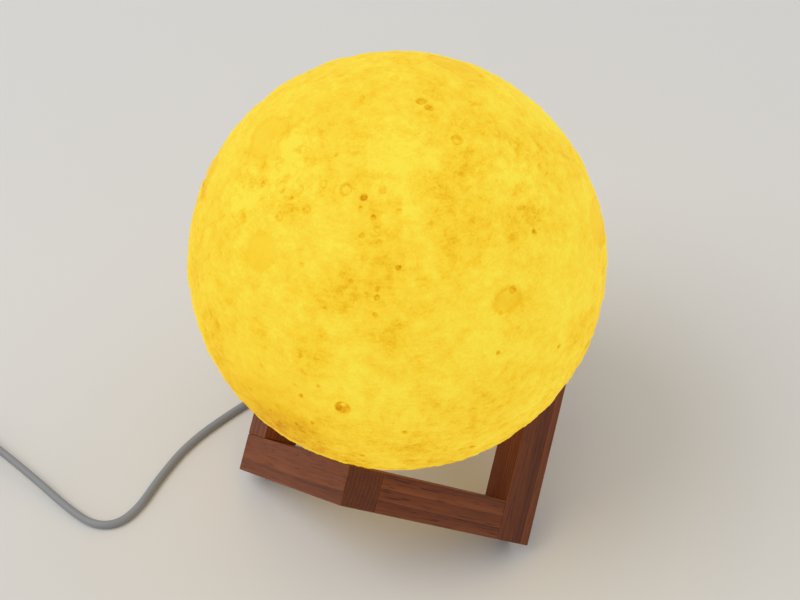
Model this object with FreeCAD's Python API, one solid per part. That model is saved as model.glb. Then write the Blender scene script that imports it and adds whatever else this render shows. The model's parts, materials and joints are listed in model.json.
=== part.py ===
import FreeCAD, Part
import math
import os
from FreeCAD import Placement, Rotation, Vector

# Moon lamp: a lit globe resting in a ring of six square wooden bars, with its charging cable.
# Millimetres. The origin is on the table, under the middle of the stand. +Z is up, and -Y is
# the side with the raised front corner of the stand.

# ---- Stand: the bars follow six edges of a cube that is balanced on one corner ----
bar_length = 86.5          # outside length of one cube edge
bar_side = 15.0            # width and thickness of the square bars
bar_edge_round = 0.5       # rounding of the bars' sawn edges
foot_trim = 1.5            # height that is planed off the three low corners to make feet
dowel_diameter = 6.0
dowel_fit = 0.1            # gap round a dowel in its hole
dowel_in_passing_bar = 10.0
dowel_in_butting_bar = 14.0
dowel_end_gap = 1.0        # air left at each blind end of a dowel hole

# ---- Globe ----
globe_diameter = 150.0
globe_wall = 1.8
seat_gap = 0.3             # gap between the globe and the three raised corners
collar_bore_radius = 20.0  # opening in the globe's underside
collar_wall = 2.6
collar_height = 7.5        # from the shoulder up
rebate_radius = 21.5       # shallow recess round the opening, which takes the base cover
rebate_depth = 1.9
lug_count = 3
lug_width = 8.0
lug_height = 2.0
lug_overlap = 1.2          # how far a lug reaches over the collar's top
lug_clearance = 0.15

# ---- Base unit: cover, housing and circuit board, heights counted from the cover's face ----
slide_gap = 0.2            # side gap of a part that slips into another
face_gap = 0.1             # gap between faces that meet when the base is closed
cover_thickness = 1.8
housing_wall = 1.6
housing_height = 11.7      # from the cover's inner face to the top of the housing
board_height = 7.5         # the board's underside
board_thickness = 1.6
board_edge_gap = 0.8
spigot_height = 2.7
spigot_wall = 1.2
fuse_depth = 0.5           # how far solids that become one piece reach into each other
post_radius = 2.4
screw_radius = 1.0
screw_head_radius = 2.1
screw_head_height = 1.1
screw_sink = 0.1           # the heads lie this far under the cover's face
screw_length = 11.6
screw_fit = 0.1            # gap round the thread in the housing's posts
screw_hole_floor = 0.5     # left between a screw hole and the housing's top face
slot_length = 2.2          # cross slot in each head
slot_width = 0.5
slot_depth = 0.5
screw_circle_radius = 13.5
screw_angles = (60.0, 120.0, 240.0, 300.0)
base_turn = 165.0          # direction of the charging port, counted from +X towards +Y

# ---- Push button and its switch ----
button_offset = 9.0        # from the axis, opposite the port
button_radius = 4.0
button_stand_out = 1.0     # how far the button stands out of the cover
button_travel = 1.0
button_flange_radius = 5.2
button_flange_thickness = 1.0
button_crown = 0.4         # rounding of the button's face
switch_side = 6.0
switch_body_height = 3.5
plunger_radius = 1.7
plunger_fit = 0.15
plunger_inside = 1.5       # length of the plunger that is inside the switch at rest

# ---- Components on the board: length, width, height, and place by x and y ----
board_parts = [
    (5.0, 4.0, 1.6, 6.5, 0.0),     # charger chip
    (3.0, 3.0, 1.0, 0.5, -6.5),    # voltage converter chip
    (5.0, 5.0, 2.4, -5.5, -1.0),   # coil
    (3.2, 1.6, 1.2, 0.5, 5.2),     # capacitors
    (3.2, 1.6, 1.2, 6.0, 5.5),
    (1.6, 0.8, 0.5, 6.5, -5.0),    # resistors
    (1.6, 0.8, 0.5, -5.5, 4.8),
]

# ---- Charging port ----
port_offset = 9.0
port_hole_round = 1.2      # corners of the opening in the cover
socket_width = 7.9
socket_depth = 2.9
socket_wall = 0.3
socket_round = 1.0
socket_sink = 0.6          # the socket's mouth lies this far inside the cover's face
tongue_width = 3.8
tongue_thickness = 0.6
tongue_short = 1.6         # the tongue ends this far inside the socket's mouth

# ---- Column: battery tube, light board and diffuser ----
column_radius = 9.9
column_wall = 1.5
column_flange_radius = 13.0
column_flange_thickness = 1.5
column_floor = 1.2
column_height = 39.4
cell_radius = 8.15
cell_length = 34.5
cell_button_radius = 2.8
cell_button_height = 0.8
cell_end_round = 0.6
tab_thickness = 0.2
tab_width = 4.0
tab_length = 14.0
carrier_radius = 16.5
carrier_thickness = 2.0
carrier_spigot = 1.4
carrier_spigot_wall = 1.2
light_board_radius = 14.0
light_board_thickness = 1.2
led_length = 3.5
led_width = 2.8
led_height = 0.9
led_ring_radius = 9.5
led_count = 8
diffuser_radius = 15.8
diffuser_wall = 1.2
diffuser_height = 14.0
diffuser_crown = 7.5       # height of the domed part
wire_radius = 0.6
wire_hole_fit = 0.25
light_wire_y = 11.3
light_wire_half_pitch = 3.0
cell_wire_y = -11.6
cell_wire_bend = 1.5

# ---- Charging cable ----
cable_diameter = 3.2
table_gap = 0.05           # the cable clears the table by this much
plug_shell_width = 6.85
plug_shell_depth = 1.8
plug_shell_wall = 0.25
plug_shell_length = 6.0
plug_shell_round = 0.5
plug_shell_inner_round = 0.3
plug_shell_floor = 1.0     # depth that is closed at the grip's end
plug_face_gap = 0.2        # between the cover and the plug's grip
plug_grip_width = 10.6
plug_grip_depth = 7.6
plug_grip_length = 13.3
plug_grip_round = 1.6
plug_grip_end_round = 0.6
boot_length = 7.0
boot_top_radius = 2.7
boot_groove = 0.45
boot_grooves = 3
boot_groove_share = 0.4    # share of the grooves' spacing that is cut away
boot_end_wall = 0.25       # wall round the cable at the boot's thin end
coil_radius = 24.0         # centreline of the outermost turn
coil_turns_in = 3.25
coil_turns_out = 3.0
coil_turn_gap = 0.5        # gap between neighbouring turns
coil_lift = 0.7            # the coil lies on its tie, which passes under it
coil_centre = (-189.6, -71.3)
coil_entry_angle = 70.0
coil_approach = 14.0
tie_thickness = 0.5
tie_width = 7.0
tie_gap = 0.1
tie_angle = 250.0
supply_plug_shell_width = 12.0
supply_plug_shell_depth = 4.5
supply_plug_shell_wall = 0.35
supply_plug_shell_length = 12.2
supply_plug_shell_floor = 0.5
supply_plug_window = 2.2   # side of the two square windows in each face of the shell
supply_plug_window_offset = 2.2
supply_plug_window_start = 5.0
supply_plug_tongue_thickness = 1.9
supply_plug_tongue_short = 0.6
supply_plug_grip_width = 15.5
supply_plug_grip_depth = 8.0
supply_plug_grip_length = 21.0
supply_plug_grip_round = 2.4
supply_plug_grip_end_round = 0.8
supply_boot_length = 9.0
supply_boot_radius = 3.1
supply_boot_end = (-228.2, -97.5)
supply_plug_heading = 238.0
coil_leave = 9.0           # straight stretches of the tail, off the coil and into the boot
boot_approach = 9.5
bend_share = 0.45          # how much of the shorter run beside a corner its arc takes

Z = Vector(0, 0, 1)


def polar(radius, degrees, height=0.0):
    angle = math.radians(degrees)
    return Vector(radius * math.cos(angle), radius * math.sin(angle), height)


def cylinder(radius, low, high, x=0.0, y=0.0):
    return Part.makeCylinder(radius, high - low, Vector(x, y, low))


def ring(outer, inner, low, high, x=0.0, y=0.0):
    return cylinder(outer, low, high, x, y).cut(cylinder(inner, low - 1, high + 1, x, y))


def block(width_x, width_y, low, high, x=0.0, y=0.0):
    corner = Vector(x - width_x / 2, y - width_y / 2, low)
    return Part.makeBox(width_x, width_y, high - low, corner)


def round_upright_edges(solid, radius):
    upright = [e for e in solid.Edges if abs(e.tangentAt(e.FirstParameter).z) > 0.999]
    return solid.makeFillet(radius, upright)


def save(node, *solids):
    for solid in solids:
        if not solid.isValid():
            print("not valid:", node)
    shape = solids[0] if len(solids) == 1 else Part.makeCompound(list(solids))
    shape.exportStep("parts/" + node + ".step")
    volume = sum(solid.Volume for solid in solids)
    print(f"{node}: {len(shape.Solids)} solid, {volume:.1f} mm3")
    return shape


# ---------------------------------------------------------------- stand
half = bar_length / 2
inner = half - bar_side
low_band = (-half, -inner)
high_band = (inner, half)
# The cube stands on the corner diagonal (1, -1, 1), which becomes +Z.
edge_x = Vector(1, 1, 0).normalize()
diagonal = Vector(1, -1, 1).normalize()
edge_y = diagonal.cross(edge_x)
stand_centre_z = (half + bar_side) / math.sqrt(3) - foot_trim
stand_placement = Placement(FreeCAD.Matrix(
    edge_x.x, edge_x.y, edge_x.z, 0,
    edge_y.x, edge_y.y, edge_y.z, 0,
    diagonal.x, diagonal.y, diagonal.z, stand_centre_z,
    0, 0, 0, 1))

# Each bar by its span along the three cube edges. A bar that passes a corner has its whole
# end block there, and its neighbour butts against its side.
bars = {
    "bar_front_left": ((-half, half), low_band, low_band),
    "bar_front_right": (high_band, (-inner, inner), low_band),
    "bar_right": (high_band, high_band, (-half, half)),
    "bar_back_right": ((-half, inner), high_band, high_band),
    "bar_back_left": (low_band, (-inner, inner), high_band),
    "bar_left": (low_band, low_band, (-inner, half)),
}
low_middle = -(half + inner) / 2
high_middle = (half + inner) / 2
# Each corner dowel by its axis, the place of the joint on that axis, the side on which the
# passing bar lies, and the two other coordinates.
along = {"p": Vector(1, 0, 0), "q": Vector(0, 1, 0), "r": Vector(0, 0, 1)}
glued_corners = [
    ("q", -inner, -1, (high_middle, 0, low_middle)),
    ("q", inner, 1, (high_middle, 0, low_middle)),
    ("q", inner, 1, (low_middle, 0, high_middle)),
    ("q", -inner, -1, (low_middle, 0, high_middle)),
]
plug_in_corners = [
    ("r", -inner, -1, (low_middle, low_middle, 0)),
    ("p", inner, 1, (0, high_middle, high_middle)),
]


def dowel_rod(corner, radius, extra):
    axis, joint, side, middle = corner
    direction = along[axis] * side
    start = Vector(*middle) + along[axis] * joint - direction * (dowel_in_butting_bar + extra)
    length = dowel_in_butting_bar + dowel_in_passing_bar + 2 * extra
    return Part.makeCylinder(radius, length, start, direction)


def make_stand():
    dowel_radius = dowel_diameter / 2
    holes = [dowel_rod(corner, dowel_radius + dowel_fit, dowel_end_gap)
             for corner in glued_corners + plug_in_corners]
    table_block = Part.makeBox(
        4 * bar_length, 4 * bar_length, bar_length,
        Vector(-2 * bar_length, -2 * bar_length, -bar_length))
    made = []
    for node, spans in bars.items():
        low = Vector(*[span[0] for span in spans])
        size = [span[1] - span[0] for span in spans]
        bar = Part.makeBox(*size, low)
        bar = bar.makeFillet(bar_edge_round, bar.Edges)
        bar = bar.cut(Part.makeCompound(holes))
        bar.Placement = stand_placement
        bar = bar.cut(table_block)
        made.append(save(node, *bar.Solids))
    for node, corners in (("glued_dowels", glued_corners), ("plug_in_dowels", plug_in_corners)):
        rods = [dowel_rod(corner, dowel_radius, 0) for corner in corners]
        for rod in rods:
            rod.Placement = stand_placement
        save(node, *rods)
    return made


# ---------------------------------------------------------------- globe
globe_radius = globe_diameter / 2
# A raised corner's tip, lowered a little by the rounding of the bar's long edge.
tip_drop = bar_edge_round * (math.sqrt(2) - 1) * math.sqrt(2 / 3)
tip_height = stand_centre_z + (half + bar_side) / math.sqrt(3) - tip_drop
tip_radius = (half + inner) * 2 / math.sqrt(6)
globe_z = tip_height + math.sqrt((globe_radius + seat_gap) ** 2 - tip_radius ** 2)
base_z = globe_z - math.sqrt(globe_radius ** 2 - rebate_radius ** 2)
collar_top = rebate_depth + collar_height
cover_radius = rebate_radius - slide_gap
housing_radius = collar_bore_radius - slide_gap
housing_inner_radius = housing_radius - housing_wall
housing_top = cover_thickness + housing_height
housing_ceiling = housing_top - housing_wall
board_top = board_height + board_thickness
board_radius = housing_inner_radius - board_edge_gap
column_base = housing_top
column_top = column_base + column_height
column_bore = column_radius - column_wall
cell_base = column_base + column_floor + tab_thickness
cell_top = cell_base + cell_length
light_base = column_top + carrier_thickness
lug_reach = collar_bore_radius + lug_overlap
screw_places = [polar(screw_circle_radius, angle) for angle in screw_angles]
light_wire_places = [(side * light_wire_half_pitch, light_wire_y) for side in (-1, 1)]


def put_in_base(shape):
    """Heights above are counted from the base cover's face, with the port towards +X."""
    shape = shape.copy()
    shape.Placement = Placement(Vector(0, 0, base_z), Rotation(Z, base_turn)) * shape.Placement
    return shape


def save_in_base(node, *solids):
    return save(node, *[put_in_base(solid) for solid in solids])


def sector_block(reach, width, low, high, angle):
    piece = Part.makeBox(reach, width, high - low, Vector(0, -width / 2, low))
    piece.rotate(Vector(0, 0, 0), Z, angle)
    return piece


def make_globe():
    centre = Vector(0, 0, globe_z - base_z)
    ball = Part.makeSphere(globe_radius, centre)
    hollow = Part.makeSphere(globe_radius - globe_wall, centre)
    collar_radius = rebate_radius + collar_wall
    collar = cylinder(collar_radius, -globe_radius, collar_top).common(ball)
    globe = ball.cut(hollow).fuse(collar)
    globe = globe.cut(cylinder(rebate_radius, -globe_radius, rebate_depth))
    globe = globe.cut(cylinder(collar_bore_radius, -globe_radius, globe_radius / 2))
    step = 360 / lug_count
    for i in range(lug_count):
        # the lugs pass up these notches, and the base is then turned half a step to lock it
        notch = sector_block(
            lug_reach + slide_gap, lug_width + 4 * slide_gap, 0, globe_radius / 2,
            (i + 0.5) * step)
        globe = globe.cut(notch)
    return save_in_base("moon_globe", *globe.Solids)


# ---------------------------------------------------------------- base unit
def make_cover():
    cover = cylinder(cover_radius, 0, cover_thickness)
    spigot_radius = housing_inner_radius - slide_gap
    spigot = ring(spigot_radius, spigot_radius - spigot_wall,
                  cover_thickness - fuse_depth, cover_thickness + spigot_height)
    cover = cover.fuse(spigot)
    for place in screw_places:
        cover = cover.fuse(cylinder(post_radius, cover_thickness - fuse_depth, board_height,
                                    place.x, place.y))
    hole_radius = screw_radius + slide_gap
    sink_radius = screw_head_radius + slide_gap
    for place in screw_places:
        cover = cover.cut(cylinder(hole_radius, -1, board_height + 1, place.x, place.y))
        sink = Part.makeCone(sink_radius, hole_radius, screw_sink + screw_head_height,
                             Vector(place.x, place.y, 0))
        cover = cover.cut(sink)
    cover = cover.cut(cylinder(button_radius + slide_gap, -1, cover_thickness + 1,
                               -button_offset))
    port_hole = round_upright_edges(
        block(socket_depth + 2 * slide_gap, socket_width + 2 * slide_gap,
              -1, cover_thickness + 1, port_offset), port_hole_round)
    cover = cover.cut(port_hole)
    return save_in_base("base_cover", *cover.Solids)


def make_screws():
    screws = []
    for place in screw_places:
        head = Part.makeCone(screw_head_radius, screw_radius, screw_head_height,
                             Vector(place.x, place.y, screw_sink))
        shank = cylinder(screw_radius, screw_sink + screw_head_height / 2,
                         screw_sink + screw_length, place.x, place.y)
        screw = head.fuse(shank)
        slot = [block(length, width, screw_sink - 1, screw_sink + slot_depth, place.x, place.y)
                for length, width in ((slot_length, slot_width), (slot_width, slot_length))]
        screws.append(screw.cut(slot[0].fuse(slot[1])))
    return save_in_base("cover_screws", *screws)


def make_housing():
    housing = cylinder(housing_radius, cover_thickness, housing_top)
    housing = housing.cut(cylinder(housing_inner_radius, cover_thickness - 1, housing_ceiling))
    post_hole = screw_radius + screw_fit
    for place in screw_places:
        housing = housing.fuse(cylinder(post_radius, board_top, housing_ceiling + fuse_depth,
                                        place.x, place.y))
    for place in screw_places:
        housing = housing.cut(cylinder(post_hole, board_top - 1, housing_top - screw_hole_floor,
                                       place.x, place.y))
    lug_base = collar_top + lug_clearance
    for i in range(lug_count):
        lug = sector_block(lug_reach + 1, lug_width, lug_base, lug_base + lug_height,
                           i * 360 / lug_count)
        lug = lug.common(ring(lug_reach, housing_radius - fuse_depth,
                              lug_base, lug_base + lug_height))
        housing = housing.fuse(lug)
    for x, y in light_wire_places + [(0, cell_wire_y), (0, 0)]:
        housing = housing.cut(cylinder(wire_radius + wire_hole_fit, housing_ceiling - 1,
                                       housing_top + 1, x, y))
    return save_in_base("base_housing", *housing.Solids)


def make_board():
    board = cylinder(board_radius, board_height, board_top)
    for place in screw_places:
        board = board.cut(cylinder(screw_radius + slide_gap, board_height - 1, board_top + 1,
                                   place.x, place.y))
    save_in_base("circuit_board", board)
    chips = [block(length, width, board_top, board_top + height, x, y)
             for length, width, height, x, y in board_parts]
    save_in_base("board_components", *chips)


def make_button():
    stem_top = cover_thickness + face_gap
    cap = cylinder(button_radius, -button_stand_out, stem_top, -button_offset)
    rim = [e for e in cap.Edges if e.BoundBox.ZMax < -button_stand_out + 0.01]
    cap = cap.makeFillet(button_crown, rim)
    flange_top = stem_top + button_flange_thickness
    flange = cylinder(button_flange_radius, stem_top, flange_top, -button_offset)
    save_in_base("push_button", cap.fuse(flange).removeSplitter())
    body_low = board_height - switch_body_height
    body = block(switch_side, switch_side, body_low, board_height, -button_offset)
    well_top = body_low + plunger_inside + button_travel + slide_gap
    body = body.cut(cylinder(plunger_radius + plunger_fit, body_low - 1, well_top,
                             -button_offset))
    save_in_base("button_switch", body)
    plunger = cylinder(plunger_radius, flange_top, body_low + plunger_inside, -button_offset)
    save_in_base("switch_plunger", plunger)


def port_block(width, depth, low, high, corner):
    return round_upright_edges(block(depth, width, low, high, port_offset), corner)


def make_port():
    socket = port_block(socket_width, socket_depth, socket_sink, board_height, socket_round)
    bore = port_block(socket_width - 2 * socket_wall, socket_depth - 2 * socket_wall,
                      socket_sink - 1, board_height - socket_wall, socket_round - socket_wall)
    save_in_base("port_socket", socket.cut(bore))
    tongue = block(tongue_thickness, tongue_width, socket_sink + tongue_short,
                   board_height - socket_wall, port_offset)
    save_in_base("port_tongue", tongue)


# ---------------------------------------------------------------- column
def make_column():
    column = cylinder(column_flange_radius, column_base, column_base + column_flange_thickness)
    column = column.fuse(cylinder(column_radius, column_base, column_top))
    column = column.cut(cylinder(column_bore, column_base + column_floor, column_top + 1))
    hole = wire_radius + wire_hole_fit
    for x, y in light_wire_places + [(0, cell_wire_y), (0, 0)]:
        column = column.cut(cylinder(hole, column_base - 1, cell_base + column_flange_thickness,
                                     x, y))
    slot = Part.makeBox(2 * hole, column_radius, column_height,
                        Vector(-hole, -column_radius - 1, cell_top))
    column = column.cut(slot)
    save_in_base("battery_tube", *column.Solids)

    cell = cylinder(cell_radius, cell_base, cell_top - cell_button_height)
    cell = cell.makeFillet(cell_end_round, [e for e in cell.Edges if len(e.Vertexes) == 1])
    cell = cell.fuse(cylinder(cell_button_radius, cell_base + 1, cell_top))
    save_in_base("battery_cell", cell)
    tabs = [block(tab_width, tab_length, low, low + tab_thickness)
            for low in (cell_base - tab_thickness, cell_top)]
    save_in_base("battery_tabs", *tabs)

    carrier = cylinder(carrier_radius, column_top, light_base)
    spigot_radius = column_bore - slide_gap
    carrier = carrier.fuse(ring(spigot_radius, spigot_radius - carrier_spigot_wall,
                                column_top - carrier_spigot, column_top + fuse_depth))
    for x, y in light_wire_places:
        carrier = carrier.cut(cylinder(hole, column_top - 1, light_base + 1, x, y))
    save_in_base("light_carrier", *carrier.Solids)

    light_top = light_base + light_board_thickness
    save_in_base("light_board", cylinder(light_board_radius, light_base, light_top))
    leds = [block(led_length, led_width, light_top, light_top + led_height)]
    for i in range(led_count):
        led = block(led_length, led_width, light_top, light_top + led_height, led_ring_radius)
        led.rotate(Vector(0, 0, 0), Z, i * 360 / led_count)
        leds.append(led)
    save_in_base("light_chips", *leds)

    save_in_base("diffuser_dome", dome())


def dome_solid(radius, height, crown_height, base):
    """A straight rim under a cap that is part of a sphere."""
    sphere_radius = (radius ** 2 + crown_height ** 2) / (2 * crown_height)
    top = base + height
    cap = Part.makeSphere(sphere_radius, Vector(0, 0, top - sphere_radius))
    return cylinder(radius, base, top).common(cap)


def dome():
    outer = dome_solid(diffuser_radius, diffuser_height, diffuser_crown, light_base)
    hollow = dome_solid(diffuser_radius - diffuser_wall, diffuser_height - diffuser_wall,
                        diffuser_crown, light_base)
    return outer.cut(hollow)


def make_wires():
    wires = [cylinder(wire_radius, board_top, light_base, x, y) for x, y in light_wire_places]
    save_in_base("light_wires", *wires)
    short = cylinder(wire_radius, board_top, cell_base - tab_thickness)
    turn_height = cell_top + tab_thickness + wire_radius
    route = [
        Vector(0, cell_wire_y, board_top),
        Vector(0, cell_wire_y, turn_height),
        Vector(0, -tab_length / 2 + 1, turn_height),
    ]
    save_in_base("battery_wires", short, tube(route, wire_radius, [cell_wire_bend]))


# ---------------------------------------------------------------- cable
def bend_radius(points, i):
    """Radius of the arc at point i, as large as its two runs allow."""
    before = points[i] - points[i - 1]
    after = points[i + 1] - points[i]
    half_turn = before.getAngle(after) / 2
    return bend_share * min(before.Length, after.Length) / math.tan(half_turn)


def tube_path(points, radii):
    edges = []
    start = points[0]
    for i in range(1, len(points) - 1):
        back = (points[i - 1] - points[i]).normalize()
        ahead = (points[i + 1] - points[i]).normalize()
        half_turn = (math.pi - back.getAngle(ahead)) / 2
        cut = radii[i - 1] * math.tan(half_turn)
        enter = points[i] + back * cut
        leave = points[i] + ahead * cut
        inward = (back + ahead).normalize()
        middle = points[i] + inward * radii[i - 1] * (1 / math.cos(half_turn) - 1)
        edges.append(Part.LineSegment(start, enter).toShape())
        edges.append(Part.Arc(enter, middle, leave).toShape())
        start = leave
    edges.append(Part.LineSegment(start, points[-1]).toShape())
    return Part.Wire(edges)


def pipe(path, radius, start, direction):
    ring_edge = Part.Circle(start, direction, radius).toShape()
    return path.makePipeShell([Part.Wire([ring_edge])], True, False)


def tube(points, radius, radii=None):
    radii = radii or [bend_radius(points, i) for i in range(1, len(points) - 1)]
    path = tube_path(points, radii)
    return pipe(path, radius, points[0], points[1] - points[0])


cable_radius = cable_diameter / 2
on_table = cable_radius + table_gap
plug_grip_top = -plug_face_gap
plug_grip_low = plug_grip_top - plug_grip_length
boot_low = plug_grip_low - boot_length
turn_step = cable_diameter + coil_turn_gap
lower_layer = coil_lift + cable_radius
upper_layer = lower_layer + turn_step
coil_turns = coil_turns_in + coil_turns_out


def coil_radius_at(turns):
    if turns < coil_turns_in:
        return coil_radius - turn_step * turns
    return coil_radius - turn_step * (2 * coil_turns_in - turns)


def coil_height_at(turns):
    """The upper layer spirals in, the cable climbs down in half a turn, and spirals out."""
    done = min(1, max(0, turns - coil_turns_in + 0.25) * 2)
    return upper_layer - turn_step * done * done * (3 - 2 * done)


def coil_point(turns):
    flat = polar(coil_radius_at(turns), coil_entry_angle + 360 * turns)
    return Vector(coil_centre[0] + flat.x, coil_centre[1] + flat.y, coil_height_at(turns))


def coil_heading(turns):
    small = 1e-4
    before = coil_point(max(0, turns - small))
    after = coil_point(min(coil_turns, turns + small))
    return (after - before).normalize()


def biarc(start, start_way, end, end_way):
    """Two arcs that leave start and reach end in the given ways, and meet smoothly."""
    across = end - start
    ways = start_way + end_way
    a = ways.dot(ways) - 4
    b = -2 * across.dot(ways)
    reach = (-b - math.sqrt(b * b - 4 * a * across.dot(across))) / (2 * a)
    first = start + start_way * reach
    second = end - end_way * reach
    joint = (first + second) * 0.5
    arcs = []
    for begin, corner, finish in ((start, first, joint), (joint, second, end)):
        chord_middle = (begin + finish) * 0.5
        half_chord = (finish - begin).Length / 2
        rise = (corner - chord_middle).Length
        leg = (corner - begin).Length
        # the arc touches both legs of the triangle begin, corner, finish
        height = half_chord * (leg - half_chord) / rise
        middle = chord_middle + (corner - chord_middle) * (height / rise)
        arcs.append(Part.Arc(begin, middle, finish))
    return arcs


def make_coil():
    mouth = coil_point(0) - coil_heading(0) * cable_diameter
    edges = [Part.LineSegment(mouth, coil_point(0)).toShape()]
    quarters = round(coil_turns * 4)
    for i in range(quarters):
        before, after = i / 4, (i + 1) / 4
        edges += [arc.toShape() for arc in biarc(
            coil_point(before), coil_heading(before), coil_point(after), coil_heading(after))]
    tail = coil_point(coil_turns) + coil_heading(coil_turns) * cable_diameter
    edges.append(Part.LineSegment(coil_point(coil_turns), tail).toShape())
    path = Part.Wire(edges)
    coil = pipe(path, cable_radius, mouth, coil_heading(0))
    report_tube("cable_coil", coil, path.Length)
    print(f"cable_coil: least gap between its turns {self_gap(path):.2f} mm")
    save("cable_coil", coil)
    return mouth, tail, path.Length


def self_gap(path):
    """Least distance between stretches of the path more than half a turn apart, less the cable."""
    spacing = 1.0
    points = path.discretize(Distance=spacing)
    apart = int(math.pi * (coil_radius - turn_step * coil_turns_in) / spacing)
    least = 1e9
    for i, one in enumerate(points):
        for other in points[i + apart:]:
            least = min(least, one.distanceToPoint(other))
    return least - cable_diameter


def report_tube(node, solid, length):
    section = math.pi * cable_radius ** 2
    print(f"{node}: length {length:.1f} mm, volume / (section x length) = "
          f"{solid.Volume / (section * length):.4f}")


def make_free_tube(node, points):
    radii = [bend_radius(points, i) for i in range(1, len(points) - 1)]
    path = tube_path(points, radii)
    solid = pipe(path, cable_radius, points[0], points[1] - points[0])
    print(node, "bend radii", [round(radius, 1) for radius in radii])
    report_tube(node, solid, path.Length)
    save(node, solid)
    return path.Length


def boot(length, top_radius):
    """Strain relief along -Z from the origin, grooved and tapering to the cable."""
    end_radius = cable_radius + boot_end_wall
    cone = Part.makeCone(end_radius, top_radius, length, Vector(0, 0, -length))
    pitch = length / (boot_grooves + 1)
    for i in range(boot_grooves):
        middle = -pitch * (i + 1)
        outside = top_radius + (end_radius - top_radius) * -middle / length
        low = middle - boot_groove_share * pitch / 2
        high = middle + boot_groove_share * pitch / 2
        groove = ring(top_radius + 1, outside - boot_groove, low, high)
        cone = cone.cut(groove)
    return cone


def make_lamp_plug():
    shell_low = plug_grip_top
    shell_high = shell_low + plug_shell_length
    shell = port_block(plug_shell_width, plug_shell_depth, shell_low, shell_high,
                       plug_shell_round)
    bore = port_block(plug_shell_width - 2 * plug_shell_wall,
                      plug_shell_depth - 2 * plug_shell_wall,
                      shell_low + plug_shell_floor, shell_high + 1, plug_shell_inner_round)
    save_in_base("plug_shell", shell.cut(bore))
    grip = port_block(plug_grip_width, plug_grip_depth, plug_grip_low, plug_grip_top,
                      plug_grip_round)
    ends = [e for e in grip.Edges if e.BoundBox.ZLength < 0.01]
    save_in_base("plug_grip", grip.makeFillet(plug_grip_end_round, ends))
    relief = boot(boot_length, boot_top_radius)
    relief.translate(Vector(port_offset, 0, plug_grip_low))
    save_in_base("plug_boot", relief)


def make_supply_plug():
    """The plug at the cable's far end lies flat on the table, beside the coil."""
    height = supply_plug_grip_depth / 2 + table_gap
    end = Vector(supply_boot_end[0], supply_boot_end[1], height)
    heading = polar(1, supply_plug_heading)
    # modelled upright with the boot downwards, then laid along the heading
    lay = Placement(end, Rotation(heading.cross(Z) * -1, Z, heading, "ZYX"))
    grip_low = supply_boot_length
    grip_high = grip_low + supply_plug_grip_length
    shell_high = grip_high + supply_plug_shell_length
    relief = boot(supply_boot_length, supply_boot_radius)
    relief.translate(Vector(0, 0, grip_low))
    grip = round_upright_edges(
        block(supply_plug_grip_width, supply_plug_grip_depth, grip_low, grip_high),
        supply_plug_grip_round)
    ends = [e for e in grip.Edges if e.BoundBox.ZLength < 0.01]
    grip = grip.makeFillet(supply_plug_grip_end_round, ends)
    shell = block(supply_plug_shell_width, supply_plug_shell_depth, grip_high, shell_high)
    inside_width = supply_plug_shell_width - 2 * supply_plug_shell_wall
    inside_depth = supply_plug_shell_depth - 2 * supply_plug_shell_wall
    inside_low = grip_high + supply_plug_shell_floor
    shell = shell.cut(block(inside_width, inside_depth, inside_low, shell_high + 1))
    window_low = grip_high + supply_plug_window_start
    for side in (-1, 1):
        shell = shell.cut(block(supply_plug_window, supply_plug_shell_depth + 2, window_low,
                                window_low + supply_plug_window,
                                side * supply_plug_window_offset))
    tongue_y = -inside_depth / 2 + supply_plug_tongue_thickness / 2
    tongue = block(inside_width, supply_plug_tongue_thickness, inside_low,
                   shell_high - supply_plug_tongue_short, 0, tongue_y)
    for node, solid in (("supply_plug_boot", relief), ("supply_plug_grip", grip),
                        ("supply_plug_shell", shell), ("supply_plug_tongue", tongue)):
        solid.Placement = lay * solid.Placement
        save(node, solid)
    return end, heading


def make_tie():
    """A flat band round all the turns, at one side of the coil."""
    innermost = coil_radius - turn_step * coil_turns_in
    inside_low = innermost - cable_radius - tie_gap
    inside_high = coil_radius + cable_radius + tie_gap
    floor = lower_layer - cable_radius - tie_gap
    ceiling = upper_layer + cable_radius + tie_gap

    def sleeve(extra, width):
        piece = Part.makeBox(
            inside_high - inside_low + 2 * extra, width, ceiling - floor + 2 * extra,
            Vector(inside_low - extra, -width / 2, floor - extra))
        lying = [e for e in piece.Edges if e.BoundBox.YLength > width / 2]
        return piece.makeFillet(cable_radius + extra, lying)
    tie = sleeve(tie_thickness, tie_width).cut(sleeve(0, tie_width + 2))
    turn = Rotation(Z, tie_angle)
    tie.Placement = Placement(Vector(coil_centre[0], coil_centre[1], 0), turn)
    save("coil_tie", tie)


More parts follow.
